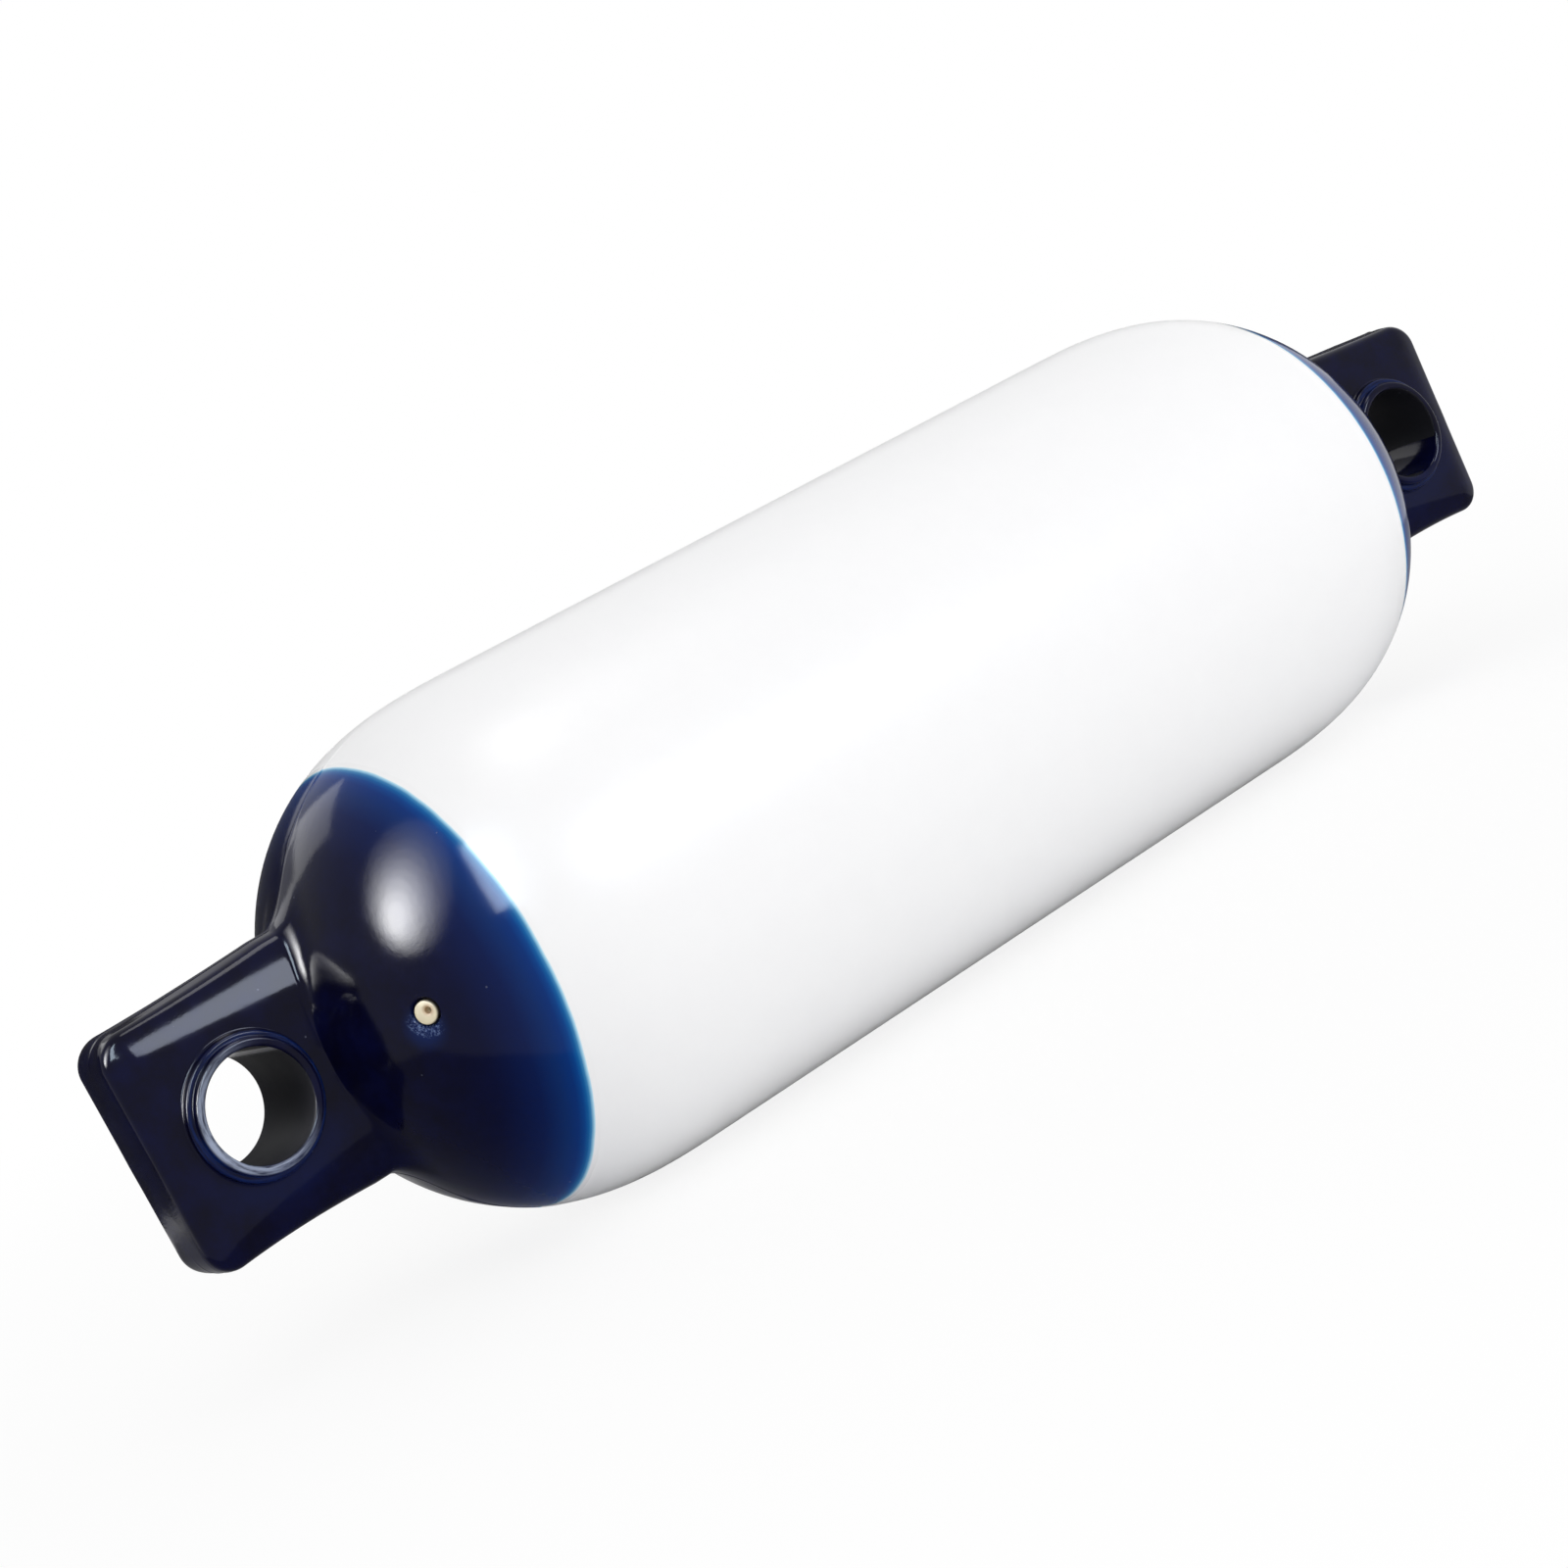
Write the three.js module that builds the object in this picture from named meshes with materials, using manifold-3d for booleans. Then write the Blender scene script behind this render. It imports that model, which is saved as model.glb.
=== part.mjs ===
// Inflatable twin-eye boat fender: one hollow moulded vinyl shell with a needle valve in one shoulder.
// Millimetres. The fender lies on its side: X runs along it, the rope holes run along Y, Z is up.

import * as THREE from "three";
import { mergeVertices } from "three/addons/utils/BufferGeometryUtils.js";
import Module from "manifold-3d";

// Body
const BODY_DIAMETER = 165;
const BARREL_LENGTH = 262;
const SHOULDER_LENGTH = 102;
const SHOULDER_BELLY = 2.9;
const SHOULDER_NOSE = 1.75;
const REST_FLAT_WIDTH = 16;
const BLUE_LENGTH = 108;

// Wall
const WALL = 3.5;
const NOSE_WALL = 12;

// Lugs
const LUG_LENGTH = 60;
const LUG_WIDTH = 76;
const LUG_THICKNESS = 26;
const LUG_CORNER_RADIUS = 8;
const LUG_ROOT_FLARE = 2;
const LUG_TIP_DRAFT_DEGREES = 4;
const LUG_ROOT_DRAFT_DEGREES = 12;
const LUG_PARTING_LAND = 0.5;
const LUG_SLOPE_DEGREES = 14;
const LUG_SLOPE_AT_TIP = 7.5;
const LUG_SLOPE_AT_ROOT = 16.5;
const LUG_FACE_SOFTNESS = 0.7;
const LUG_TIP_SOFTNESS = 2.5;
const LUG_ROOT_SOFTNESS = 6;
const NECK_FILLET = 12.5;

// Rope holes
const HOLE_DIAMETER = 33.5;
const HOLE_INSET = 33;
const COLLAR_HEIGHT = 5.6;
const COLLAR_STEP_HEIGHT = 2.8;
const COLLAR_BASE_DIAMETER = 43.2;
const LIP_DIAMETER = 39.4;
const LIP_ROUND = 1.1;

// Inflation valve
const VALVE_ALONG_SHOULDER = 0.8373;
const VALVE_CLOCK_DEGREES = 176.2;
const VALVE_FACE_DIAMETER = 7.2;
const VALVE_FACE_CROWN = 0.7;
const VALVE_RECESS_DIAMETER = 11;
const VALVE_RECESS_DEPTH = 1.2;
const VALVE_SPOT_DEPTH = 3;
const VALVE_FLANGE_DIAMETER = 12;
const VALVE_FLANGE_THICKNESS = 2;
const VALVE_TAIL_LENGTH = 7;
const VALVE_TAIL_DIAMETER = 6;
const NEEDLE_HOLE_DIAMETER = 1.4;
const NEEDLE_LEAD_IN_DIAMETER = 2.4;
const NEEDLE_LEAD_IN_DEPTH = 1;
const NEEDLE_HOLE_FLOOR = 2;
const SEAT_CLEARANCE = 0.3;

// Steps of the curved surfaces
const SHOULDER_STEPS = 14;
const LUG_STEPS = 4;
const LUG_ROUND_STEPS = 5;
const FACE_STEPS = 8;
const EDGE_STEPS = 5;
const CHAMBER_STEPS = 9;
const CHAMBER_SEGMENTS = 36;
const COLLAR_SEGMENTS = 40;
const ROUND_STEPS = 2;
const VALVE_SEGMENTS = 24;
const SKIN_PRECISION = 1e-5;

const radius = BODY_DIAMETER / 2;
const barrelEnd = BARREL_LENGTH / 2;
const noseEnd = barrelEnd + SHOULDER_LENGTH;
const tipEnd = noseEnd + LUG_LENGTH;
const holeX = tipEnd - HOLE_INSET;
const blueStart = tipEnd - BLUE_LENGTH;
const halfWidth = LUG_WIDTH / 2;
const halfThickness = LUG_THICKNESS / 2;
const slopeAngle = THREE.MathUtils.degToRad(LUG_SLOPE_DEGREES);
const neckFillet = Math.min(NECK_FILLET, halfThickness);
const flatHalfAngle = Math.asin(REST_FLAT_WIDTH / 2 / radius);
const restHeight = radius * Math.cos(flatHalfAngle);

const wasm = await Module();
wasm.setup();

// A closed geometry as a manifold-3d solid.
function solid(geometry) {
  const bare = geometry.clone().deleteAttribute("normal").deleteAttribute("uv");
  const merged = mergeVertices(bare, 1e-4);
  return new wasm.Manifold(
    new wasm.Mesh({
      numProp: 3,
      vertProperties: merged.attributes.position.array,
      triVerts: new Uint32Array(merged.index.array),
    }),
  );
}

// A manifold-3d solid as a three.js geometry.
function geometryOf(body) {
  const mesh = body.getMesh();
  return new THREE.BufferGeometry()
    .setAttribute("position", new THREE.BufferAttribute(mesh.vertProperties, mesh.numProp))
    .setIndex(new THREE.BufferAttribute(mesh.triVerts, 1));
}

// The shoulder is a superellipse that runs from the barrel to the nose.
function shoulderRadius(x, bodyRadius = radius, length = SHOULDER_LENGTH) {
  const along = Math.min(Math.max((Math.abs(x) - barrelEnd) / length, 0), 1);
  return bodyRadius * (1 - along ** SHOULDER_BELLY) ** (1 / SHOULDER_NOSE);
}

// The larger of two values, with a soft change where they are nearly equal.
function softMax(a, b, softness) {
  const near = Math.max(softness - Math.abs(a - b), 0) / softness;
  return Math.max(a, b) + (near ** 2 * softness) / 4;
}

// How far a point lies outside the lug, negative inside: a flat face, a gentle slope that leads to a tight
// edge, and sides with the mould's draft, which meet the other half in a narrow land at the parting line.
// Points on that land count as inside.
function outsideLug(x, y, z) {
  const fromTip = Math.min(Math.max(tipEnd - x, 0) / LUG_LENGTH, 1);
  const pastX = x - tipEnd + LUG_CORNER_RADIUS;
  const pastZ = z - halfWidth - LUG_ROOT_FLARE * fromTip ** 2 + LUG_CORNER_RADIUS;
  const beyond = Math.hypot(Math.max(pastX, 0), Math.max(pastZ, 0));
  const outline = beyond + Math.min(Math.max(pastX, pastZ), 0) - LUG_CORNER_RADIUS;
  const towardsRoot = fromTip * (2 - fromTip);
  const draft = THREE.MathUtils.degToRad(
    THREE.MathUtils.lerp(LUG_TIP_DRAFT_DEGREES, LUG_ROOT_DRAFT_DEGREES, towardsRoot),
  );
  const slopeWidth = THREE.MathUtils.lerp(LUG_SLOPE_AT_TIP, LUG_SLOPE_AT_ROOT, fromTip);
  const softness = THREE.MathUtils.lerp(LUG_TIP_SOFTNESS, LUG_ROOT_SOFTNESS, fromTip);
  const face = y - halfThickness;
  const sloped = face * Math.cos(slopeAngle) + (outline + slopeWidth) * Math.sin(slopeAngle);
  const side = (outline - LUG_PARTING_LAND) * Math.cos(draft) + y * Math.sin(draft);
  const front = softMax(face, sloped, LUG_FACE_SOFTNESS);
  return Math.max(softMax(front, side, softness), outline - SKIN_PRECISION);
}

// Distance from the axis to the lug's skin at x, in the direction of an angle from +Y towards +Z.
function lugRadius(x, angle) {
  const cos = Math.abs(Math.cos(angle));
  const sin = Math.abs(Math.sin(angle));
  let inside = 0;
  let outside = 2 * (halfWidth + halfThickness);
  while (outside - inside > SKIN_PRECISION) {
    const r = (inside + outside) / 2;
    if (outsideLug(Math.abs(x), r * cos, r * sin) > 0) {
      outside = r;
    } else {
      inside = r;
    }
  }
  return inside;
}

// Stations along X, from one tip to the other: close together on the nose and on the lug's round end.
function stations() {
  const half = [];
  for (let i = 0; i <= SHOULDER_STEPS; i++) {
    half.push(barrelEnd + SHOULDER_LENGTH * (1 - (1 - i / SHOULDER_STEPS) ** 2));
  }
  const roundStart = tipEnd - LUG_CORNER_RADIUS;
  for (let i = 1; i <= LUG_STEPS; i++) {
    half.push(noseEnd + ((roundStart - noseEnd) * i) / LUG_STEPS);
  }
  for (let i = 1; i <= LUG_ROUND_STEPS; i++) {
    const turn = (Math.PI / 2) * (i / LUG_ROUND_STEPS);
    half.push(roundStart + (tipEnd - roundStart) * Math.sin(turn));
  }
  return [...half.map((x) => -x).reverse(), ...half];
}

// Angles round a section: close together on the lug's edges, with one step for half of the rest flat.
function sectionAngles() {
  const edgeFrom = Math.atan2(halfWidth - LUG_SLOPE_AT_ROOT, halfThickness);
  const edgeTo = Math.atan2(halfWidth, halfThickness / 2);
  const quarter = [];
  for (let i = 0; i < FACE_STEPS; i++) {
    quarter.push((edgeFrom * i) / FACE_STEPS);
  }
  for (let i = 0; i <= EDGE_STEPS; i++) {
    quarter.push(edgeFrom + ((edgeTo - edgeFrom) * i) / EDGE_STEPS);
  }
  quarter.push(Math.PI / 2 - flatHalfAngle);
  quarter.sort((a, b) => a - b);
  const half = [...quarter, Math.PI / 2, ...quarter.map((a) => Math.PI - a).reverse()];
  return [...half.slice(0, -1), ...half.slice(0, -1).map((a) => a + Math.PI)];
}

// The outer skin: sections joined from tip to tip, settled onto the rest flat underneath.
function outerSkin() {
  const xs = stations();
  const angles = sectionAngles();
  const count = angles.length;
  const positions = [];
  for (const x of xs) {
    for (const angle of angles) {
      const r = softMax(shoulderRadius(x), lugRadius(x, angle), neckFillet);
      positions.push(x, r * Math.cos(angle), Math.max(r * Math.sin(angle), -restHeight));
    }
  }
  const firstTip = positions.length / 3;
  positions.push(xs[0], 0, 0, xs[xs.length - 1], 0, 0);
  const index = [];
  for (let j = 0; j < count; j++) {
    const next = (j + 1) % count;
    for (let i = 0; i < xs.length - 1; i++) {
      const a = i * count;
      const b = a + count;
      index.push(a + j, b + next, b + j, a + j, a + next, b + next);
    }
    const last = (xs.length - 1) * count;
    index.push(firstTip, next, j, firstTip + 1, last + j, last + next);
  }
  const geometry = new THREE.BufferGeometry();
  geometry.setAttribute("position", new THREE.Float32BufferAttribute(positions, 3));
  geometry.setIndex(index);
  return geometry;
}

// The air chamber: the body's own outline, drawn in by the wall and stopped short of the lugs.
function airChamber() {
  const length = SHOULDER_LENGTH - NOSE_WALL;
  const profile = [];
  for (let i = 0; i <= CHAMBER_STEPS; i++) {
    const x = barrelEnd + length * (1 - (1 - i / CHAMBER_STEPS) ** 2);
    profile.push(new THREE.Vector2(shoulderRadius(x, radius - WALL, length), x));
  }
  const mirrored = profile.map((p) => new THREE.Vector2(p.x, -p.y)).reverse();
  const lathe = new THREE.LatheGeometry([...mirrored, ...profile], CHAMBER_SEGMENTS);
  return lathe.rotateZ(-Math.PI / 2);
}

// Points of a quarter round from one angle to another, for a lathe profile.
function roundPoints(centreR, centreY, size, fromDegrees, toDegrees) {
  const points = [];
  for (let i = 0; i <= ROUND_STEPS; i++) {
    const angle = THREE.MathUtils.degToRad(fromDegrees + ((toDegrees - fromDegrees) * i) / ROUND_STEPS);
    points.push(new THREE.Vector2(centreR + size * Math.cos(angle), centreY + size * Math.sin(angle)));
  }
  return points;
}

// Both faces of a profile that is given for +Y, turned about the hole's axis.
function spool(upper) {
  const lower = upper.map((p) => new THREE.Vector2(p.x, -p.y)).reverse();
  return new THREE.LatheGeometry([...lower, ...upper], COLLAR_SEGMENTS);
}

// The collar stands on both faces of the lug: a step at its base, then a lip with a round brim.
function collar() {
  const top = halfThickness + COLLAR_HEIGHT;
  const step = halfThickness + COLLAR_STEP_HEIGHT;
  const base = COLLAR_BASE_DIAMETER / 2;
  const lip = LIP_DIAMETER / 2;
  const stepEdge = Math.min(LIP_ROUND, (base - lip) / 2);
  return spool([
    new THREE.Vector2(base, halfThickness),
    ...roundPoints(base - stepEdge, step - stepEdge, stepEdge, 0, 90),
    new THREE.Vector2(lip, step),
    ...roundPoints(lip - LIP_ROUND, top - LIP_ROUND, LIP_ROUND, 0, 90),
    new THREE.Vector2(0, top),
  ]);
}

// The cutter for the rope hole flares at both mouths, so that the rope runs over a round edge.
function ropeHole() {
  const top = halfThickness + COLLAR_HEIGHT;
  const bore = HOLE_DIAMETER / 2;
  return spool([
    ...roundPoints(bore + LIP_ROUND, top - LIP_ROUND, LIP_ROUND, 180, 90),
    new THREE.Vector2(bore + LIP_ROUND, top + 1),
    new THREE.Vector2(0, top + 1),
  ]);
}

// A group on the near shoulder whose +Y points straight out of the skin, at the middle of the valve.
function valvePlace() {
  const x = -(barrelEnd + VALVE_ALONG_SHOULDER * SHOULDER_LENGTH);
  const step = 0.01;
  const narrowing = (shoulderRadius(x + step) - shoulderRadius(x - step)) / (2 * step);
  const clock = THREE.MathUtils.degToRad(VALVE_CLOCK_DEGREES);
  const around = new THREE.Vector3(0, Math.cos(clock), Math.sin(clock));
  const outward = around.clone().addScaledVector(new THREE.Vector3(1, 0, 0), -narrowing).normalize();
  const place = new THREE.Object3D();
  place.position.copy(around.multiplyScalar(shoulderRadius(x)).setX(x));
  place.quaternion.setFromUnitVectors(new THREE.Vector3(0, 1, 0), outward);
  place.updateMatrix();
  return place;
}

// Thickness of the wall where the valve goes through it, measured along the valve.
function wallAtValve(place) {
  const inward = new THREE.Vector3(0, -1, 0).applyQuaternion(place.quaternion);
  const point = new THREE.Vector3();
  const stride = 0.02;
  for (let depth = 0; depth < radius; depth += stride) {
    point.copy(place.position).addScaledVector(inward, depth);
    const chamber = shoulderRadius(point.x, radius - WALL, SHOULDER_LENGTH - NOSE_WALL);
    if (Math.hypot(point.y, point.z) < chamber) {
      return depth;
    }
  }
  return radius;
}

const valve = valvePlace();
const valveNeck = wallAtValve(valve) - VALVE_SPOT_DEPTH;

// The cutter for the valve's seat: a dished recess, a plain hole, and a flat spot face behind the wall.
function valveSeat() {
  const hole = VALVE_FACE_DIAMETER / 2 + SEAT_CLEARANCE;
  const spot = VALVE_FLANGE_DIAMETER / 2 + SEAT_CLEARANCE;
  const rim = VALVE_RECESS_DIAMETER / 2;
  const deep = -valveNeck - VALVE_FLANGE_DIAMETER;
  const lathe = new THREE.LatheGeometry(
    [
      new THREE.Vector2(0, deep),
      new THREE.Vector2(spot, deep),
      new THREE.Vector2(spot, -valveNeck),
      new THREE.Vector2(hole, -valveNeck),
      new THREE.Vector2(hole, -VALVE_RECESS_DEPTH),
      new THREE.Vector2(rim, 0),
      new THREE.Vector2(rim + VALVE_RECESS_DEPTH, VALVE_RECESS_DEPTH),
      new THREE.Vector2(0, VALVE_RECESS_DEPTH),
    ],
    VALVE_SEGMENTS,
  );
  return lathe.applyMatrix4(valve.matrix);
}

// The valve: a rubber plug with a crowned face, a flange behind the wall and a tail that the needle enters.
function valvePlug() {
  const face = VALVE_FACE_DIAMETER / 2;
  const flange = VALVE_FLANGE_DIAMETER / 2;
  const tail = VALVE_TAIL_DIAMETER / 2;
  const needle = NEEDLE_HOLE_DIAMETER / 2;
  const leadIn = NEEDLE_LEAD_IN_DIAMETER / 2;
  const flangeTop = -valveNeck - SEAT_CLEARANCE;
  const flangeBottom = flangeTop - VALVE_FLANGE_THICKNESS;
  const tailBottom = flangeBottom - VALVE_TAIL_LENGTH;
  return new THREE.LatheGeometry(
    [
      new THREE.Vector2(0, tailBottom),
      new THREE.Vector2(0.7 * tail, tailBottom),
      new THREE.Vector2(tail, tailBottom + 0.3 * tail),
      new THREE.Vector2(tail, flangeBottom),
      new THREE.Vector2(flange, flangeBottom),
      new THREE.Vector2(flange, flangeTop),
      new THREE.Vector2(face, flangeTop),
      new THREE.Vector2(face, -VALVE_FACE_CROWN),
      new THREE.Vector2(0.8 * face, -0.4 * VALVE_FACE_CROWN),
      new THREE.Vector2(leadIn, 0),
      new THREE.Vector2(needle, -NEEDLE_LEAD_IN_DEPTH),
      new THREE.Vector2(needle, tailBottom + NEEDLE_HOLE_FLOOR),
      new THREE.Vector2(0, tailBottom + NEEDLE_HOLE_FLOOR),
    ],
    VALVE_SEGMENTS,
  );
}

// The blue coat covers both ends, lugs included, over the white vinyl: faces are sorted by where they lie.
function withBlueEnds(geometry) {
  const { position } = geometry.attributes;
  const faces = { white: [], blue: [] };
  for (let i = 0; i < geometry.index.count; i += 3) {
    const corners = [0, 1, 2].map((k) => geometry.index.getX(i + k));
    const middle = corners.reduce((sum, c) => sum + position.getX(c), 0) / 3;
    const coat = Math.abs(middle) > blueStart ? "blue" : "white";
    faces[coat].push(...corners);
  }
  geometry.setIndex([...faces.white, ...faces.blue]);
  geometry.addGroup(0, faces.white.length, 0);
  geometry.addGroup(faces.white.length, faces.blue.length, 1);
  return geometry;
}

function fenderShell() {
  let body = solid(outerSkin());
  for (const side of [-1, 1]) {
    body = body.add(solid(collar().translate(side * holeX, 0, 0)));
  }
  body = body.subtract(solid(airChamber()));
  for (const side of [-1, 1]) {
    body = body.subtract(solid(ropeHole().translate(side * holeX, 0, 0)));
  }
  body = body.subtract(solid(valveSeat()));
  return withBlueEnds(geometryOf(body));
}

const whiteVinyl = new THREE.MeshStandardMaterial({ color: 0xf4f4f6, roughness: 0.18, metalness: 0 });
const blueVinyl = new THREE.MeshStandardMaterial({ color: 0x15173a, roughness: 0.15, metalness: 0 });
const valveRubber = new THREE.MeshStandardMaterial({ color: 0xd8cfae, roughness: 0.6, metalness: 0 });

const shell = new THREE.Mesh(fenderShell(), [whiteVinyl, blueVinyl]);
shell.name = "fender_shell";

const plug = new THREE.Mesh(valvePlug(), valveRubber);
plug.name = "valve_plug";
plug.position.copy(valve.position);
plug.quaternion.copy(valve.quaternion);

const fender = new THREE.Group();
fender.add(shell, plug);
fender.position.z = restHeight;

export default fender;
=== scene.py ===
# Inflatable twin-eye boat fender lying on its side: glossy white vinyl, navy ends, a rope hole in each lug.
import math

import bmesh
import bpy
from mathutils import Matrix, Vector, noise


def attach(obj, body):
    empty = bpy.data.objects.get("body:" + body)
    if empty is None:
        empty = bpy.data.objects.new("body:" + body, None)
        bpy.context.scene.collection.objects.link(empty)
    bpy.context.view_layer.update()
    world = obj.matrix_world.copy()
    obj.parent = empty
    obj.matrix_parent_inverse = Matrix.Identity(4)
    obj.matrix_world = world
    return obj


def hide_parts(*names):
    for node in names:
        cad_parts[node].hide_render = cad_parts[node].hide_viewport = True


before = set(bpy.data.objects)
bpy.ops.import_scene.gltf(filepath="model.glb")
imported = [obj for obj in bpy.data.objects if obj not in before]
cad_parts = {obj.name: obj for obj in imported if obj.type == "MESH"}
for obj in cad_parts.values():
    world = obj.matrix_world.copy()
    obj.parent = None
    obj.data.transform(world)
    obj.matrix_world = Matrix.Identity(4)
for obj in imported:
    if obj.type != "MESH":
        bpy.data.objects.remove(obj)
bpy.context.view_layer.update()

MM = 0.001

# Body
BODY_RADIUS = 82.5 * MM
BARREL_END = 131 * MM
SHOULDER_LENGTH = 102 * MM
SHOULDER_BELLY = 2.9
SHOULDER_NOSE = 1.75
REST_FLAT_WIDTH = 16 * MM
BLUE_START = 187 * MM

# Lugs
LUG_LENGTH = 60 * MM
HALF_WIDTH = 38 * MM
HALF_THICKNESS = 13 * MM
LUG_CORNER_RADIUS = 9.5 * MM
LUG_ROOT_FLARE = 2 * MM
LUG_TIP_DRAFT = math.radians(4)
LUG_ROOT_DRAFT = math.radians(12)
LUG_PARTING_LAND = 0.5 * MM
LUG_SLOPE = math.radians(14)
LUG_SLOPE_AT_TIP = 7.5 * MM
LUG_SLOPE_AT_ROOT = 16.5 * MM
LUG_BEVEL = math.radians(29)
LUG_BEVEL_AT_TIP = 1.8 * MM
LUG_BEVEL_AT_ROOT = 7 * MM
LUG_FACE_SOFTNESS = 0.7 * MM
LUG_BEVEL_SOFTNESS = 1.2 * MM
LUG_EDGE_SOFTNESS = 2 * MM
NECK_FILLET = 12.5 * MM

# Rope holes and their collars
HOLE_RADIUS = 16.75 * MM
HOLE_INSET = 33 * MM
COLLAR_TOP = HALF_THICKNESS + 5.6 * MM
COLLAR_STEP = HALF_THICKNESS + 2.8 * MM
COLLAR_BASE_RADIUS = 21.6 * MM
LIP_RADIUS = 19.7 * MM
LIP_ROUND = 1.2 * MM
FOOT_FILLET = 0.9 * MM

# Needle valve
VALVE_ALONG_SHOULDER = 0.8373
VALVE_CLOCK = math.radians(176.2)
VALVE_FACE_RADIUS = 3.6 * MM
VALVE_NECK = 8 * MM
NEEDLE_RADIUS = 0.95 * MM
NEEDLE_LEAN = 1.8 * MM
VALVE_LOWER_LEFT = Vector((-0.6, 0.15, -0.78))
VALVE_UPPER_RIGHT = Vector((1.149, -0.68, 0.465))
PUCKER_HEIGHT = 0.1 * MM
PUCKER_RADIUS = 5.4 * MM
PUCKER_WIDTH = 1.3 * MM

# Parting line of the mould
FLASH_HEIGHT = 0.3 * MM
FLASH_WIDTH = 0.5 * MM
FLASH_FROM_BARREL = 25 * MM
FLASH_EASE = 20 * MM
FLASH_WAVES_PER_METRE = 90
FLASH_NIBS_PER_METRE = 210
FACETS_NEAR_FLASH = (8, 6.5, 4, 3, 1.7, 1.1, 0.75, 0.5, 0.3, 0.15)

# How the soft ends lie at rest: how far the tips sink and lean in, and how far the eyes turn
DROOP = {"near": 1.7 * MM, "far": 3.9 * MM}
SLANT = {"near": 0.4 * MM, "far": 1.6 * MM}
TWIST = {"near": math.radians(4.2), "far": 0}

NOSE_END = BARREL_END + SHOULDER_LENGTH
TIP_END = NOSE_END + LUG_LENGTH
HOLE_X = TIP_END - HOLE_INSET
FLAT_HALF_ANGLE = math.asin(REST_FLAT_WIDTH / 2 / BODY_RADIUS)
AXIS_HEIGHT = BODY_RADIUS * math.cos(FLAT_HALF_ANGLE)

# Colours of the vinyl; a pair is what the mottle runs between
WHITE_VINYL = ((0.915, 0.915, 0.925), (0.935, 0.935, 0.94))
DEEP_NAVY = ((0.0024, 0.0022, 0.011), (0.0026, 0.0034, 0.028))
# The pale lip: wear, and a painted highlight on its brim
WORN_AND_HIGHLIT_LIP = (0.34, 0.39, 0.52)
STEP_BLUE = (0.003, 0.018, 0.11)
BLUE_BELOW_COLLAR = (0.003, 0.008, 0.06)
# Painted shade on the walls of the rope holes
HOLE_WALL_SHADE = (0.009, 0.009, 0.013)
LOWER_LEFT_BLUE = (0.003, 0.016, 0.1)
CRAZED_COAT = (0.16, 0.23, 0.45)
DUST_ON_NAVY = (0.2, 0.22, 0.3)

# Colours of the valve's rubber
CREAM_RUBBER = ((0.62, 0.53, 0.34), (0.78, 0.71, 0.5))
NEEDLE_STAIN = (0.36, 0.2, 0.08)
# Painted shade: inside the needle hole, and in the gap round the button's edge
NEEDLE_HOLE_SHADE = (0.06, 0.025, 0.008)
RUBBER_EDGE_SHADE = (0.05, 0.035, 0.025)
DUST_ON_RUBBER = (0.2, 0.15, 0.1)

# What the coat's colour goes through from the paint line inwards: thin coat lets the white vinyl through.
COAT_STEPS_MM = [
    (0.0, (0.90, 0.92, 0.93)),
    (0.5, (0.36, 0.66, 0.84)),
    (1.2, (0.04, 0.22, 0.46)),
    (2.0, (0.004, 0.10, 0.33)),
    (3.0, (0.001, 0.05, 0.24)),
    (4.6, (0.001, 0.028, 0.17)),
    (8.0, (0.002, 0.021, 0.12)),
    (13.0, (0.0015, 0.009, 0.068)),
    (22.0, (0.0008, 0.003, 0.032)),
    (30.0, (0.0006, 0.0018, 0.023)),
]
COAT_REACH_MM = 30
PAINT_WANDER = 1.1 * MM

# Studio: how white the floor looks under the fender, and how much light the world gives
PAPER_WHITE = 0.85
WORLD_FILL = 0.76
FLOOR_HALF = 30
FLOOR_GAP = 0.05 * MM
COOL_WINDOW = (0.8, 0.96, 1.12)
COOL_LONG_WINDOW = (0.88, 0.96, 1.15)
NEAR_SHOULDER = (-0.2, -0.05, 0.11)
MIDDLE = (0, 0, 0.08)

# The main light is a stack of ellipses from the widest to its core, and each adds to its brightness
KEY_STEPS = 9
KEY_WIDEST = 1.35
KEY_CORE = 0.25
KEY_BRIGHTNESS = 122
KEY_FALLOFF = 0.965
KEY_FALLOFF_SIZE = 0.58
KEY_FALLOFF_POWER = 1.65

# The camera stands at the near end and to the side, a little above the fender's axis, and is rolled.
CAMERA_FROM_AXIS = Vector((-0.60864, -0.86458, 0.13507))
CAMERA_HEADING = 56.763
CAMERA_TILT = -7.455
CAMERA_ROLL = math.radians(-25.657)
CAMERA_LENS = 73.94


# The shoulder is a superellipse that runs from the barrel to the nose.
def shoulder_radius(x):
    along = min(max((abs(x) - BARREL_END) / SHOULDER_LENGTH, 0), 1)
    return BODY_RADIUS * (1 - along**SHOULDER_BELLY) ** (1 / SHOULDER_NOSE)


# The larger of two values, with a soft change where they are nearly equal.
def soft_max(a, b, softness):
    near = max(softness - abs(a - b), 0) / softness
    return max(a, b) + near**2 * softness / 4


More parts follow.
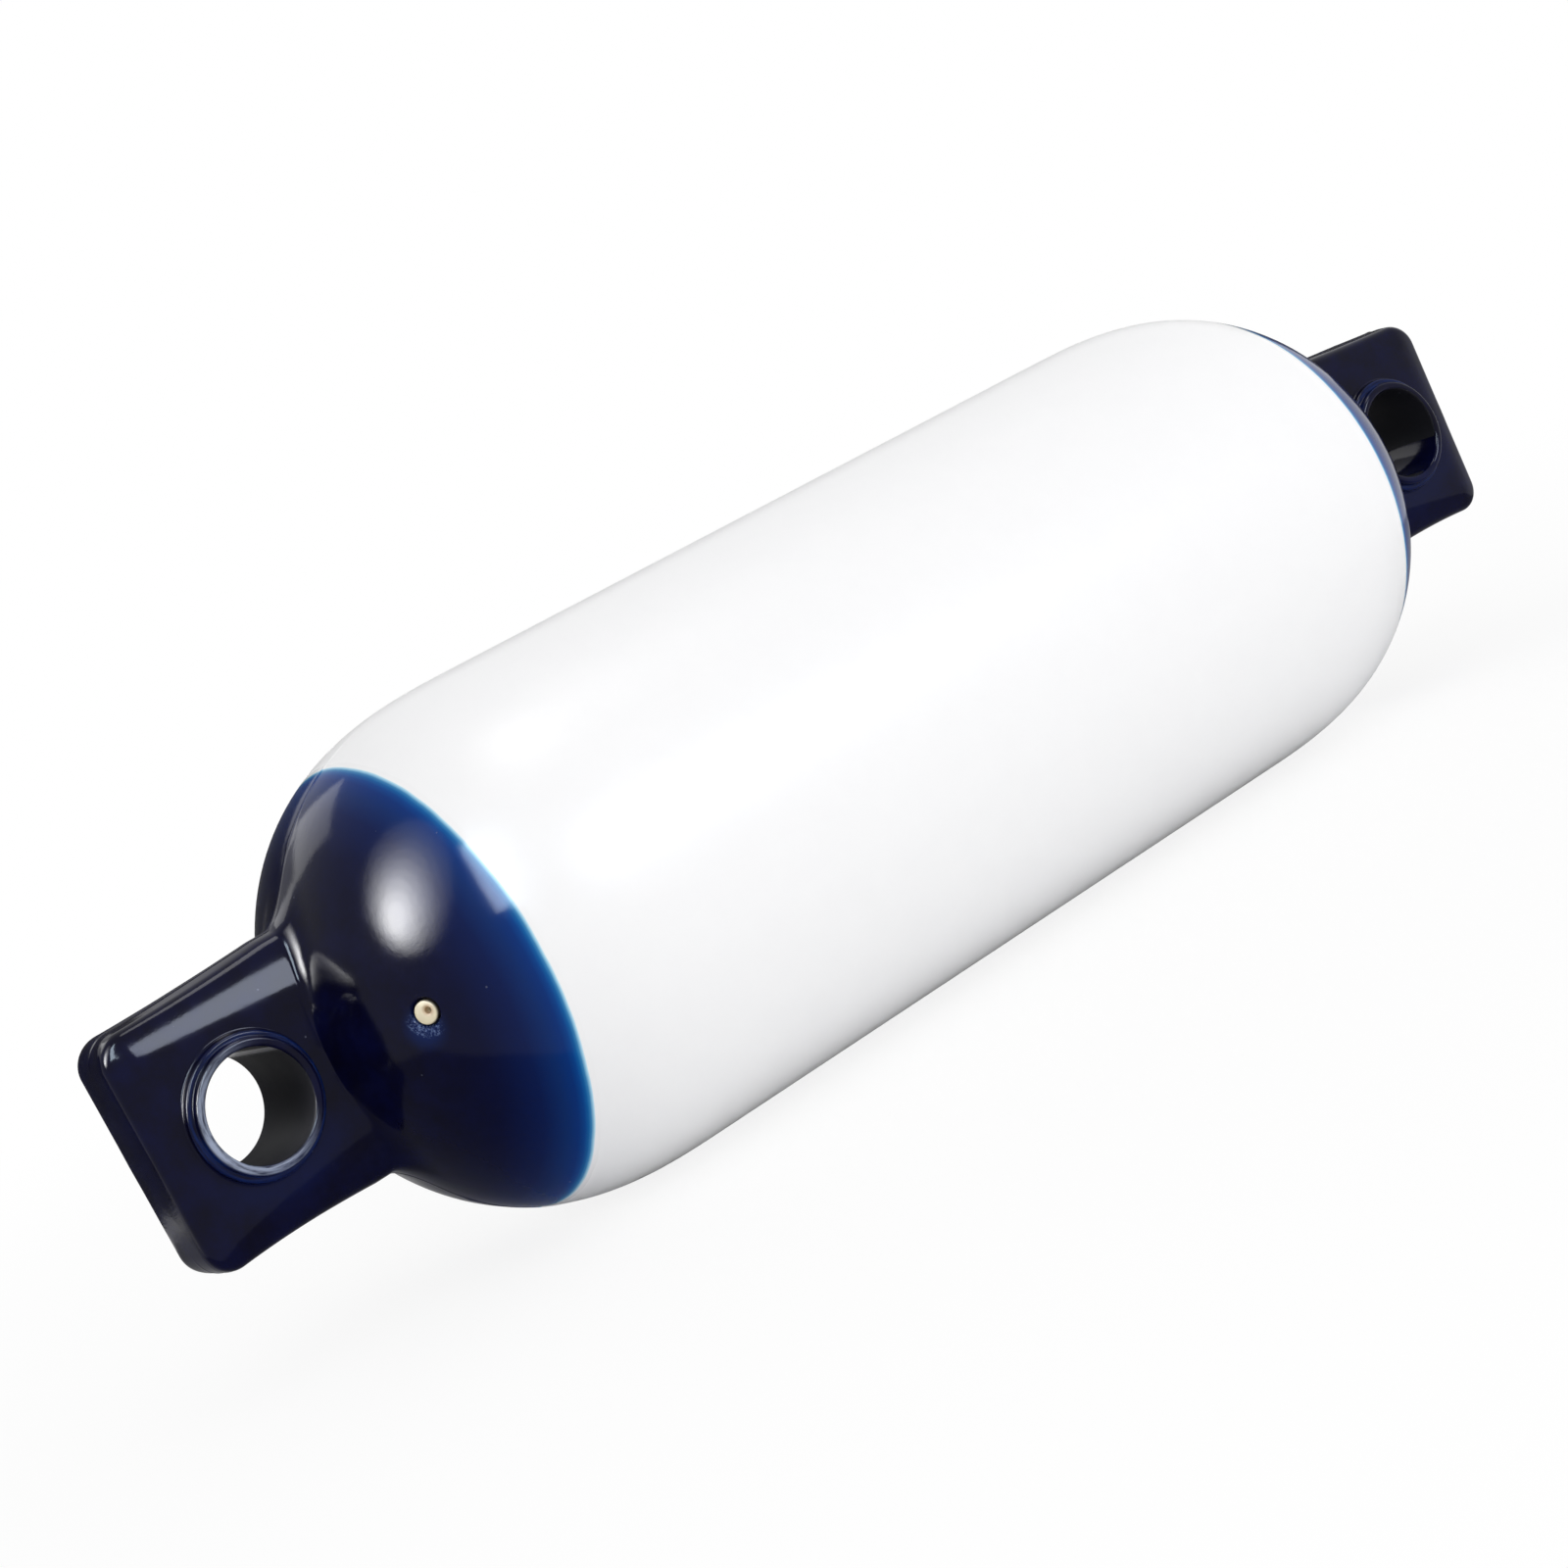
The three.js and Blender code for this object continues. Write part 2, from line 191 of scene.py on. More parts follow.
# How far a point lies outside the lug, negative inside: a flat face, a gentle slope, a bevel that ends
# in a tight edge, and sides with the mould's draft, which meet in a narrow land at the parting line.
def outside_lug(x, y, z):
    from_tip = min(max(TIP_END - x, 0) / LUG_LENGTH, 1)
    past_x = x - TIP_END + LUG_CORNER_RADIUS
    past_z = z - HALF_WIDTH - LUG_ROOT_FLARE * from_tip**2 + LUG_CORNER_RADIUS
    beyond = math.hypot(max(past_x, 0), max(past_z, 0))
    outline = beyond + min(max(past_x, past_z), 0) - LUG_CORNER_RADIUS
    draft = LUG_TIP_DRAFT + (LUG_ROOT_DRAFT - LUG_TIP_DRAFT) * from_tip * (2 - from_tip)
    slope_width = LUG_SLOPE_AT_TIP + (LUG_SLOPE_AT_ROOT - LUG_SLOPE_AT_TIP) * from_tip
    bevel_width = LUG_BEVEL_AT_TIP + (LUG_BEVEL_AT_ROOT - LUG_BEVEL_AT_TIP) * from_tip
    bevel_height = HALF_THICKNESS - (slope_width - bevel_width) * math.tan(LUG_SLOPE)
    face = y - HALF_THICKNESS
    sloped = face * math.cos(LUG_SLOPE) + (outline + slope_width) * math.sin(LUG_SLOPE)
    bevel = (y - bevel_height) * math.cos(LUG_BEVEL) + (outline + bevel_width) * math.sin(LUG_BEVEL)
    side = (outline - LUG_PARTING_LAND) * math.cos(draft) + y * math.sin(draft)
    front = soft_max(soft_max(face, sloped, LUG_FACE_SOFTNESS), bevel, LUG_BEVEL_SOFTNESS)
    return max(soft_max(front, side, LUG_EDGE_SOFTNESS), outline - 1e-9)


# Distance from the axis to the lug's skin at x, in the direction of an angle from +Y towards +Z.
def lug_radius(x, angle):
    cos = abs(math.cos(angle))
    sin = abs(math.sin(angle))
    inside = 0
    outside = 2 * (HALF_WIDTH + HALF_THICKNESS)
    while outside - inside > 1e-8:
        r = (inside + outside) / 2
        if outside_lug(abs(x), r * cos, r * sin) > 0:
            outside = r
        else:
            inside = r
    return inside


# The flash stands along the mould's parting line on the ends, and swells into small nibs here and there.
def flash(x, from_line):
    from_barrel = abs(x) - BARREL_END - FLASH_FROM_BARREL
    if from_barrel < 0:
        return 0
    along = noise.noise(Vector((x * FLASH_WAVES_PER_METRE, 0, 7.3)))
    nib = max(noise.noise(Vector((x * FLASH_NIBS_PER_METRE, 4.1, 0))) - 0.25, 0)
    ease = min(from_barrel / FLASH_EASE, 1)
    width = FLASH_WIDTH * (1 + 2.5 * nib)
    height = FLASH_HEIGHT * (0.6 + 0.4 * along + 2.2 * nib) * ease
    return height * math.exp(-((from_line / width) ** 2))


# Values from low towards high, without high itself. A power above 1 crowds them towards high.
def spread(low, high, count, power=1):
    return [low + (high - low) * (1 - (1 - i / count) ** power) for i in range(count)]


# Stations along X: close together on the nose and on the lug's round end.
def stations():
    round_start = TIP_END - LUG_CORNER_RADIUS
    half = spread(0, BARREL_END, 12)
    half += spread(BARREL_END, NOSE_END, 60, 2)
    half += spread(NOSE_END, round_start, 24)
    half += [
        round_start + (TIP_END - round_start) * math.sin(math.pi / 2 * i / 24)
        for i in range(25)
    ]
    return [-x for x in reversed(half[1:])] + half


# Angles round a section: close together on the lug's edges and across the parting line.
def section_angles():
    edge_from = math.atan2(HALF_WIDTH - LUG_SLOPE_AT_ROOT, HALF_THICKNESS)
    edge_to = math.atan2(HALF_WIDTH, HALF_THICKNESS / 2)
    quarter = spread(0, edge_from, 27)
    quarter += spread(edge_from, edge_to, 40)
    quarter += [edge_to, math.pi / 2 - FLAT_HALF_ANGLE]
    quarter += [math.pi / 2 - math.radians(degrees) for degrees in FACETS_NEAR_FLASH]
    quarter.sort()
    half = quarter + [math.pi / 2] + [math.pi - a for a in reversed(quarter)]
    return half[:-1] + [a + math.pi for a in half[:-1]]


# A piece from its points and faces, with doubled points merged and its faces turned outwards.
def mesh_piece(name, points, faces):
    mesh = bpy.data.meshes.new(name)
    mesh.from_pydata(points, [], faces)
    shape = bmesh.new()
    shape.from_mesh(mesh)
    bmesh.ops.remove_doubles(shape, verts=shape.verts, dist=1e-7)
    bmesh.ops.recalc_face_normals(shape, faces=shape.faces)
    shape.to_mesh(mesh)
    shape.free()
    piece = bpy.data.objects.new(name, mesh)
    bpy.context.scene.collection.objects.link(piece)
    return piece


# The outer skin: sections joined from tip to tip, settled onto the rest flat underneath.
def outer_skin():
    xs = stations()
    angles = section_angles()
    count = len(angles)
    points = []
    for x in xs:
        body = shoulder_radius(x)
        for angle in angles:
            r = body
            if body < HALF_WIDTH + HALF_THICKNESS + NECK_FILLET:
                r = soft_max(body, lug_radius(x, angle), NECK_FILLET)
            r += flash(x, r * math.cos(angle))
            z = max(r * math.sin(angle), -AXIS_HEIGHT) + AXIS_HEIGHT
            points.append((x, r * math.cos(angle), z))
    faces = []
    for i in range(len(xs) - 1):
        for j in range(count):
            here = i * count
            after = (j + 1) % count
            faces.append((here + j, here + after, here + count + after, here + count + j))
    faces.append(tuple(range(count)))
    faces.append(tuple((len(xs) - 1) * count + j for j in range(count)))
    return mesh_piece("fender_skin", points, faces)


# Points of a round from one angle to another, for a turned profile of (radius, height).
def round_points(centre_r, centre_y, size, from_degrees, to_degrees, steps=6):
    points = []
    for i in range(steps + 1):
        angle = math.radians(from_degrees + (to_degrees - from_degrees) * i / steps)
        points.append((centre_r + size * math.cos(angle), centre_y + size * math.sin(angle)))
    return points


# A profile turned about the Y axis, then put in its place. move shifts a point of the turned surface.
def turned(name, profile, segments, place, move=None):
    points = []
    faces = []
    for radius, height in profile:
        for j in range(segments):
            turn = 2 * math.pi * j / segments
            point = Vector((radius * math.cos(turn), height, radius * math.sin(turn)))
            points.append(place @ (move(point, radius) if move else point))
    for i in range(len(profile) - 1):
        for j in range(segments):
            here = i * segments
            after = (j + 1) % segments
            faces.append((here + j, here + after, here + segments + after, here + segments + j))
    return mesh_piece(name, points, faces)


# A profile above the lug's middle plane, with its mirror image below it.
def both_faces(upper):
    return [(r, -y) for r, y in reversed(upper)] + upper


# The collar stands on both faces of the lug: a fillet at its foot, a step, then a lip with a round brim.
def collar_profile():
    step_edge = (COLLAR_BASE_RADIUS - LIP_RADIUS) / 2
    foot = HALF_THICKNESS + FOOT_FILLET
    return both_faces(
        [(COLLAR_BASE_RADIUS + 0.9 * FOOT_FILLET, HALF_THICKNESS - 0.4 * MM)]
        + round_points(COLLAR_BASE_RADIUS + FOOT_FILLET, foot, FOOT_FILLET, 262, 180)
        + round_points(COLLAR_BASE_RADIUS - step_edge, COLLAR_STEP - step_edge, step_edge, 0, 90)
        + round_points(LIP_RADIUS + 0.3 * MM, COLLAR_STEP + 0.3 * MM, 0.3 * MM, 270, 180, 3)
        + round_points(LIP_RADIUS - LIP_ROUND, COLLAR_TOP - LIP_ROUND, LIP_ROUND, 0, 90)
        + [(0, COLLAR_TOP)]
    )


# The cutter for the rope hole flares at both mouths, so that the rope runs over a round edge.
def hole_profile():
    mouth = HOLE_RADIUS + LIP_ROUND
    return both_faces(
        round_points(mouth, COLLAR_TOP - LIP_ROUND, LIP_ROUND, 180, 90)
        + [(mouth, COLLAR_TOP + 1 * MM), (0, COLLAR_TOP + 1 * MM)]
    )


# The valve's place on the near shoulder: its Y axis points straight out of the skin.
def valve_place():
    x = -(BARREL_END + VALVE_ALONG_SHOULDER * SHOULDER_LENGTH)
    step = 0.01 * MM
    slope = (shoulder_radius(x + step) - shoulder_radius(x - step)) / (2 * step)
    around = Vector((0, math.cos(VALVE_CLOCK), math.sin(VALVE_CLOCK)))
    outward = (around - slope * Vector((1, 0, 0))).normalized()
    centre = around * shoulder_radius(x) + Vector((x, 0, AXIS_HEIGHT))
    turn = Vector((0, 1, 0)).rotation_difference(outward)
    return Matrix.Translation(centre) @ turn.to_matrix().to_4x4()


def valve_point():
    point = valve_place().translation
    return point - Vector((0, 0, droop(point.x)))


# Moulded vinyl round the valve isn't even: it puckers where the valve was pressed in.
def puckered(point, radius):
    rough = noise.noise(point * 900) + 0.6 * noise.noise(point * 2300)
    near_rim = math.exp(-(((radius - PUCKER_RADIUS) / PUCKER_WIDTH) ** 2))
    return point + Vector((0, PUCKER_HEIGHT * rough * near_rim, 0))


# The pad of vinyl that the valve was pressed into: its edge runs out under the skin.
def valve_rim_profile():
    return [
        (0, -6 * MM),
        (7.6 * MM, -6 * MM),
        (8.4 * MM, -1.6 * MM),
        (8.0 * MM, -1.2 * MM),
        (7.4 * MM, -0.8 * MM),
        (6.8 * MM, -0.5 * MM),
        (6.2 * MM, -0.3 * MM),
        (5.6 * MM, -0.16 * MM),
        (5.0 * MM, -0.1 * MM),
        (4.4 * MM, -0.08 * MM),
        (0, -0.08 * MM),
    ]


# The cutter for the valve's seat: a straight hole that flares at its mouth.
def valve_seat_profile():
    return [
        (0, -4.5 * MM),
        (4.1 * MM, -4.5 * MM),
        (4.1 * MM, -1.6 * MM),
        (4.25 * MM, -0.9 * MM),
        (4.6 * MM, -0.35 * MM),
        (5.1 * MM, 0.1 * MM),
        (5.6 * MM, 1.5 * MM),
        (0, 1.5 * MM),
    ]


# Joins the tools to a piece or cuts them from it, and deletes them.
def combined(piece, tools, operation):
    for tool in tools:
        modifier = piece.modifiers.new(tool.name, "BOOLEAN")
        modifier.operation = operation
        modifier.solver = "EXACT"
        modifier.object = tool
    graph = bpy.context.evaluated_depsgraph_get()
    mesh = bpy.data.meshes.new_from_object(piece.evaluated_get(graph))
    piece.modifiers.clear()
    piece.data = mesh
    for tool in tools:
        bpy.data.objects.remove(tool)


def smooth(piece, sharp_degrees):
    for face in piece.data.polygons:
        face.use_smooth = True
    piece.data.set_sharp_from_angle(angle=math.radians(sharp_degrees))


# How far the fender has sunk at x: nothing on the barrel, and most at the tips.
def droop(x):
    outward = min(max((abs(x) - BARREL_END) / (TIP_END - BARREL_END), 0), 1)
    return DROOP["near" if x < 0 else "far"] * outward**4


# The soft ends droop under their own weight, and the eyes have set a little askew.
def relax(piece):
    for vertex in piece.data.vertices:
        x, y, z = vertex.co
        end = "near" if x < 0 else "far"
        along_lug = min(max((abs(x) - NOSE_END) / LUG_LENGTH, 0), 1)
        above = z - AXIS_HEIGHT
        inward = SLANT[end] * along_lug**4 * (HALF_WIDTH - above) / (2 * HALF_WIDTH)
        vertex.co.x = x - math.copysign(max(inward, 0), x)
        vertex.co.y = y + above * math.tan(TWIST[end]) * along_lug**2
        vertex.co.z = max(z - droop(x), 0)


def make_shell():
    shell = outer_skin()
    hole_places = {
        "near": Matrix.Translation((-HOLE_X, 0, AXIS_HEIGHT)),
        "far": Matrix.Translation((HOLE_X, 0, AXIS_HEIGHT)),
    }
    raised = [turned(f"{end}_collar", collar_profile(), 128, at) for end, at in hole_places.items()]
    raised.append(turned("valve_rim", valve_rim_profile(), 72, valve_place(), puckered))
    combined(shell, raised, "UNION")
    cut = [turned(f"{end}_hole", hole_profile(), 128, at) for end, at in hole_places.items()]
    cut.append(turned("valve_seat", valve_seat_profile(), 72, valve_place(), puckered))
    combined(shell, cut, "DIFFERENCE")
    relax(shell)
    smooth(shell, 32)
    return shell


# The needle hole sits a little off the button's middle, towards the upper right.
def needle_lean(radius):
    lean = (valve_place().to_3x3().inverted() @ VALVE_UPPER_RIGHT) * Vector((1, 0, 1))
    return lean.normalized() * NEEDLE_LEAN * max(1 - radius / (0.8 * VALVE_FACE_RADIUS), 0)


def needle_point():
    point = valve_place() @ needle_lean(NEEDLE_RADIUS)
    return point - Vector((0, 0, droop(point.x)))


# The needle valve's face: a crowned rubber button.
def make_valve():
    place = valve_place()

    def leaned(point, radius):
        return point + needle_lean(radius)

    profile = (
        [(0, -VALVE_NECK), (VALVE_FACE_RADIUS, -VALVE_NECK), (VALVE_FACE_RADIUS, -0.9 * MM)]
        + round_points(VALVE_FACE_RADIUS - 0.6 * MM, -0.75 * MM, 0.6 * MM, 0, 80)
        + [(2.0 * MM, -0.06 * MM), (1.4 * MM, -0.06 * MM), (1.05 * MM, -0.2 * MM)]
        + [(NEEDLE_RADIUS, -0.7 * MM), (0.6 * NEEDLE_RADIUS, -3.5 * MM), (0, -3.6 * MM)]
    )
    valve = turned("valve_button", profile, 56, place, leaned)
    relax(valve)
    smooth(valve, 40)
    return valve


# Adds a node, with its settings and its inputs: an input is a value or the socket that feeds it.
def add(tree, kind, settings=None, inputs=None):
    made = tree.nodes.new(kind)
    for name, value in (settings or {}).items():
        setattr(made, name, value)
    for key, value in (inputs or {}).items():
        if isinstance(value, bpy.types.NodeSocket):
            tree.links.new(value, made.inputs[key])
        else:
            made.inputs[key].default_value = value
    return made


def maths(tree, operation, a, b=0.0, clamp=False):
    settings = {"operation": operation, "use_clamp": clamp}
    return add(tree, "ShaderNodeMath", settings, {0: a, 1: b}).outputs[0]


# From 0 at one value to 1 at the other, with soft ends.
def eased(tree, value, low, high):
    settings = {"interpolation_type": "SMOOTHSTEP"}
    return add(
        tree, "ShaderNodeMapRange", settings, {"Value": value, "From Min": low, "From Max": high}
    ).outputs["Result"]


# From 1 at one value to 0 at the other, with soft ends.
def fading(tree, value, low, high):
    return maths(tree, "SUBTRACT", 1.0, eased(tree, value, low, high))


# One colour at share 0 and the other at share 1.
def mixed(tree, share, a, b):
    mix = add(tree, "ShaderNodeMix", {"data_type": "RGBA"}, {"Factor": share})
    for socket, value in ((mix.inputs[6], a), (mix.inputs[7], b)):
        if isinstance(value, bpy.types.NodeSocket):
            tree.links.new(value, socket)
        else:
            socket.default_value = (*value, 1)
    return mix.outputs[2]


# Lays a colour over another where a mask says so, at most with the given strength.
def laid_over(tree, colour, mask, strength, over):
    return mixed(tree, maths(tree, "MULTIPLY", mask, strength), colour, over)


def noise_value(tree, vector, scale, detail=2.0, roughness=0.5):
    inputs = {"Vector": vector, "Scale": scale, "Detail": detail, "Roughness": roughness}
    return add(tree, "ShaderNodeTexNoise", None, inputs).outputs["Fac"]


def new_group(name, inputs, outputs):
    group = bpy.data.node_groups.new(name, "ShaderNodeTree")
    for label, kind, default in inputs:
        socket = group.interface.new_socket(label, in_out="INPUT", socket_type=kind)
        if default is not None:
            socket.default_value = default
    for label, kind in outputs:
        group.interface.new_socket(label, in_out="OUTPUT", socket_type=kind)
    return group, group.nodes.new("NodeGroupInput"), group.nodes.new("NodeGroupOutput")


def use_group(tree, group, inputs):
    return add(tree, "ShaderNodeGroup", {"node_tree": group}, inputs)


FLOAT = "NodeSocketFloat"
VECTOR = "NodeSocketVector"


# Dip-moulded skin is never quite flat: a slow swell, an orange peel and a fine tooth.
def moulded_surface():
    group, given, made = new_group(
        "moulded_surface",
        [
            ("Position", VECTOR, None),
            ("Swell", FLOAT, 1.0),
            ("Peel", FLOAT, 1.0),
            ("Tooth", FLOAT, 1.0),
        ],
        [("Height", FLOAT), ("Mottle", FLOAT)],
    )
    at = given.outputs["Position"]
    swell = noise_value(group, at, 28, 1)
    peel = noise_value(group, at, 420, 2)
    tooth = noise_value(group, at, 1700, 2, 0.6)
    height = maths(group, "MULTIPLY", swell, given.outputs["Swell"])
    part = maths(group, "MULTIPLY", peel, given.outputs["Peel"])
    height = maths(group, "ADD", height, part)
    part = maths(group, "MULTIPLY", tooth, given.outputs["Tooth"])
    height = maths(group, "ADD", height, part)
    group.links.new(height, made.inputs["Height"])
    group.links.new(noise_value(group, at, 95, 4, 0.6), made.inputs["Mottle"])
    return group


# Sparse pale specks of dust and tiny pinholes.
def dust_specks():
    group, given, made = new_group(
        "dust_specks",
        [("Position", VECTOR, None), ("Scale", FLOAT, 300.0), ("Share", FLOAT, 0.1)],
        [("Mask", FLOAT)],
    )
    cells = add(
        group,
        "ShaderNodeTexVoronoi",
        {"feature": "F1"},
        {"Vector": given.outputs["Position"], "Scale": given.outputs["Scale"]},
    )
    near = maths(group, "LESS_THAN", cells.outputs["Distance"], 0.11)
    chance = add(group, "ShaderNodeSeparateColor", None, {"Color": cells.outputs["Color"]})
    few = maths(group, "LESS_THAN", chance.outputs[0], given.outputs["Share"])
    group.links.new(maths(group, "MULTIPLY", near, few), made.inputs["Mask"])
    return group


# A soft band round a point: 1 in the band and 0 away from it.
def soft_band():
    group, given, made = new_group(
        "soft_band",
        [("Distance", FLOAT, 0.0), ("Middle", FLOAT, 0.0), ("Half Width", FLOAT, 0.001)],
        [("Mask", FLOAT)],
    )
    off = maths(group, "SUBTRACT", given.outputs["Distance"], given.outputs["Middle"])
    off = maths(group, "ABSOLUTE", off)
    share = maths(group, "DIVIDE", off, given.outputs["Half Width"])
    mask = maths(group, "SUBTRACT", 1.0, eased(group, share, 0.5, 1.0))
    group.links.new(mask, made.inputs["Mask"])
    return group


def new_material(name):
    material = bpy.data.materials.new(name)
    material.use_nodes = True
    tree = material.node_tree
    shader = tree.nodes["Principled BSDF"]
    coordinates = add(tree, "ShaderNodeTexCoord")
    return material, tree, shader, coordinates.outputs["Object"]


def distance_to(tree, position, point):
    settings = {"operation": "DISTANCE"}
    return add(tree, "ShaderNodeVectorMath", settings, {0: position, 1: point}).outputs["Value"]


def bumped(tree, shader, strength, distance, height):
    inputs = {"Strength": strength, "Distance": distance, "Height": height}
    bump = add(tree, "ShaderNodeBump", None, inputs)
    tree.links.new(bump.outputs["Normal"], shader.inputs["Normal"])


# The colour of the coat, by how far it lies beyond the paint line.
def coat_colour(tree, beyond_line):
    share = maths(tree, "DIVIDE", beyond_line, COAT_REACH_MM * MM, clamp=True)
    ramp = add(tree, "ShaderNodeValToRGB", None, {"Fac": share})
    elements = ramp.color_ramp.elements
    while len(elements) < len(COAT_STEPS_MM):
        elements.new(0.5)
    for element, (distance, colour) in zip(elements, COAT_STEPS_MM):
        element.position = distance / COAT_REACH_MM
        element.color = (*colour, 1)
    return ramp.outputs["Color"]


# Where a point of the vinyl lies, from the fender's middle and from the nearer rope hole.
def vinyl_places(tree, position):
    axes = add(tree, "ShaderNodeSeparateXYZ", None, {"Vector": position})
    along = maths(tree, "ABSOLUTE", axes.outputs["X"])
    is_far = maths(tree, "GREATER_THAN", axes.outputs["X"], 0.0)
    lower_far = maths(tree, "MULTIPLY", is_far, droop(HOLE_X) - droop(-HOLE_X))
    beside = maths(tree, "SUBTRACT", along, HOLE_X)
    above = maths(tree, "SUBTRACT", axes.outputs["Z"], AXIS_HEIGHT - droop(-HOLE_X))
    above = maths(tree, "ADD", above, lower_far)
    squares = [maths(tree, "MULTIPLY", side, side) for side in (beside, above)]
    return {
        "x": axes.outputs["X"],
        "along": along,
        "across": maths(tree, "ABSOLUTE", axes.outputs["Y"]),
        "beside hole": beside,
        "above hole": above,
        "from hole": maths(tree, "SQRT", maths(tree, "ADD", *squares)),
    }


# The paint line wanders a little round the body.
def beyond_paint_line(tree, position, along):
    wander = noise_value(tree, position, 45, 3)
    wander = maths(tree, "MULTIPLY", maths(tree, "SUBTRACT", wander, 0.5), PAINT_WANDER)
    return maths(tree, "SUBTRACT", maths(tree, "ADD", along, wander), BLUE_START)


# White vinyl, and over its ends the coat, which is deep navy well beyond the paint line.
def coated_vinyl(tree, beyond_line, mottle):
    white = mixed(tree, mottle, *WHITE_VINYL)
    deep = mixed(tree, eased(tree, mottle, 0.25, 0.8), *DEEP_NAVY)
    far_in = eased(tree, beyond_line, 12 * MM, 40 * MM)
    coat = mixed(tree, far_in, coat_colour(tree, beyond_line), deep)
    return mixed(tree, eased(tree, beyond_line, 0, 0.3 * MM), white, coat)


# A ring on one of the collar's faces, between two radii.
def collar_ring(tree, band, places, radii, half_width, face_height):
    inputs = {"Distance": places["from hole"], "Middle": sum(radii) / 2, "Half Width": half_width}
    ring = use_group(tree, band, inputs).outputs["Mask"]
    on_face = eased(tree, places["across"], face_height - 1.2 * MM, face_height)
    return maths(tree, "MULTIPLY", ring, on_face)


# Fine streaks that run round the hole, as a rope rubs them.
def rope_streaks(tree, places):
    turn = maths(tree, "ARCTAN2", places["above hole"], places["beside hole"])
    inputs = {
        "X": maths(tree, "MULTIPLY", places["from hole"], 1100.0),
        "Y": maths(tree, "MULTIPLY", turn, 2.2),
    }
    round_hole = add(tree, "ShaderNodeCombineXYZ", None, inputs).outputs[0]
    return noise_value(tree, round_hole, 1.0, 3, 0.6)


# The near collar's lip is painted pale, most of all on its outer and lower side: partly wear, partly a
# painted highlight on the lip's round brim.
def worn_and_highlit_lip(tree, band, places, streaks):
    inputs = {"X": places["x"], "Z": places["above hole"]}
    in_plane = add(tree, "ShaderNodeCombineXYZ", None, inputs).outputs[0]
    settings = {"operation": "DOT_PRODUCT"}
    outer = add(tree, "ShaderNodeVectorMath", settings, {0: in_plane, 1: (-0.95, 0, -0.3)})
    side = maths(tree, "SUBTRACT", outer.outputs["Value"], 0.95 * HOLE_X)
    wear_and_highlight = eased(tree, side, -14 * MM, 14 * MM)
    wear_and_highlight = maths(tree, "MULTIPLY", wear_and_highlight, eased(tree, streaks, 0.25, 0.6))
    on_lip = collar_ring(tree, band, places, (HOLE_RADIUS, LIP_RADIUS), 1.7 * MM, COLLAR_TOP)
    return maths(tree, "MULTIPLY", wear_and_highlight, on_lip)


# The collar's step shows streaks of brighter blue.
def blue_step(tree, band, places, streaks):
    radii = (COLLAR_BASE_RADIUS, LIP_RADIUS)
    on_step = collar_ring(tree, band, places, radii, 1.4 * MM, COLLAR_STEP)
    return maths(tree, "MULTIPLY", on_step, eased(tree, streaks, 0.3, 0.7))


# A bluer patch on the lug's face below the collar.
def below_collar(tree, places):
    close = fading(tree, places["from hole"], 23 * MM, 34 * MM)
    return maths(tree, "MULTIPLY", close, eased(tree, places["above hole"], -10 * MM, -24 * MM))


# The wall of the rope hole, which is inside the lug and its collars. Its charcoal colour is painted shade.
def wall_of_hole(tree, places):
    inside = maths(tree, "LESS_THAN", places["from hole"], HOLE_RADIUS + 0.15 * MM)
    in_lug = maths(tree, "LESS_THAN", places["across"], COLLAR_TOP + 1 * MM)
    return maths(tree, "MULTIPLY", inside, in_lug)


# Round the valve the coat is bluer and crazed, most of all on its lower left.
def coat_round_valve(tree, band, position, colour):
    valve = valve_point()
    bluer_spot = distance_to(tree, position, valve + VALVE_LOWER_LEFT * 5 * MM)
    colour = laid_over(tree, colour, fading(tree, bluer_spot, 3 * MM, 9 * MM), 0.7, LOWER_LEFT_BLUE)
    from_valve = distance_to(tree, position, valve)
    inputs = {"Distance": from_valve, "Middle": 5.6 * MM, "Half Width": 2.2 * MM}
    pucker = use_group(tree, band, inputs).outputs["Mask"]
    crazed = eased(tree, noise_value(tree, position, 1300, 3, 0.7), 0.46, 0.66)
    pale_spot = distance_to(tree, position, valve + VALVE_LOWER_LEFT * 6 * MM)
    pale = maths(tree, "MULTIPLY", pucker, crazed)
    pale = maths(tree, "MULTIPLY", pale, fading(tree, pale_spot, 3.5 * MM, 7.5 * MM))
    return laid_over(tree, colour, pale, 0.75, CRAZED_COAT)


# The coat is glossy. Bare white vinyl, worn lips and the walls of the holes are rougher.
def vinyl_roughness(tree, mottle, beyond_line, hole_wall, wear_and_highlight):
    inputs = {"Value": mottle, "From Min": 0.3, "From Max": 0.7, "To Min": 0.09, "To Max": 0.13}
    rough = add(tree, "ShaderNodeMapRange", None, inputs).outputs["Result"]
    uncoated = fading(tree, beyond_line, -2 * MM, 0.5 * MM)
    for mask, more in ((uncoated, 0.2), (hole_wall, 0.45), (wear_and_highlight, 0.15)):
        rough = maths(tree, "ADD", rough, maths(tree, "MULTIPLY", mask, more))
    return rough


